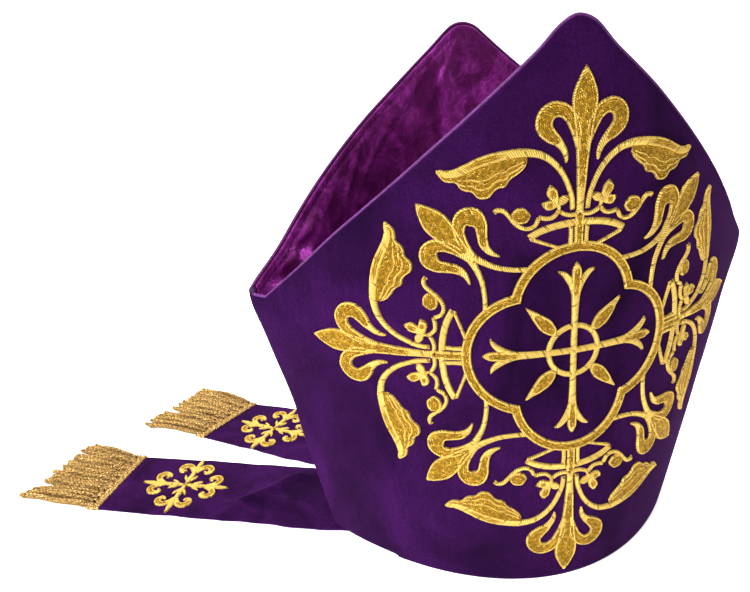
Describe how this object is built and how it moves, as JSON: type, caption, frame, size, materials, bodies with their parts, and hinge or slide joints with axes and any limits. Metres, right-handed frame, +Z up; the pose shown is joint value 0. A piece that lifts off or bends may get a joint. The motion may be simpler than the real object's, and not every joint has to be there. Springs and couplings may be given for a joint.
{
  "type": "bishop mitre",
  "caption": "Bishop mitre with two tall pointed velvet horns, a soft satin lining between them, gold embroidery on the front and fringed lappets laid out to one side.",
  "frame": {"origin": "on the table, under the middle of the outer box of the mitre with its lappets and fringes", "axes": "+Z up; the embroidered front horn faces -Y; the lappets run out towards -X"},
  "size_m": [0.4882, 0.3174, 0.3072],
  "materials": {
    "velvet": "deep purple velvet with a short pile",
    "satin": "magenta violet jacquard satin",
    "satin_piping": "light violet satin",
    "gold_thread": "metallic gold thread in raised satin stitch",
    "gold_bullion": "twisted metallic gold bullion"
  },
  "bodies": {
    "root": {"front_horn": "velvet", "rear_horn": "velvet", "lining": "satin", "front_piping": "satin_piping", "rear_piping": "satin_piping", "medallion_frame": "gold_thread", "medallion_cross": "gold_thread", "crown_top": "gold_thread", "fleur_top": "gold_thread", "leaf_top_a": "gold_thread", "leaf_top_b": "gold_thread", "crown_left": "gold_thread", "fleur_left": "gold_thread", "leaf_left_a": "gold_thread", "leaf_left_b": "gold_thread", "crown_bottom": "gold_thread", "fleur_bottom": "gold_thread", "leaf_bottom_a": "gold_thread", "leaf_bottom_b": "gold_thread", "crown_right": "gold_thread", "fleur_right": "gold_thread", "leaf_right_a": "gold_thread", "leaf_right_b": "gold_thread", "corner_fleur_upper_left": "gold_thread", "corner_fleur_lower_left": "gold_thread", "corner_fleur_lower_right": "gold_thread", "corner_fleur_upper_right": "gold_thread", "near_lappet": "velvet", "near_lappet_cross": "gold_thread", "near_fringe": "gold_bullion", "far_lappet": "velvet", "far_lappet_cross": "gold_thread", "far_fringe": "gold_bullion"}
  },
  "joints": []
}
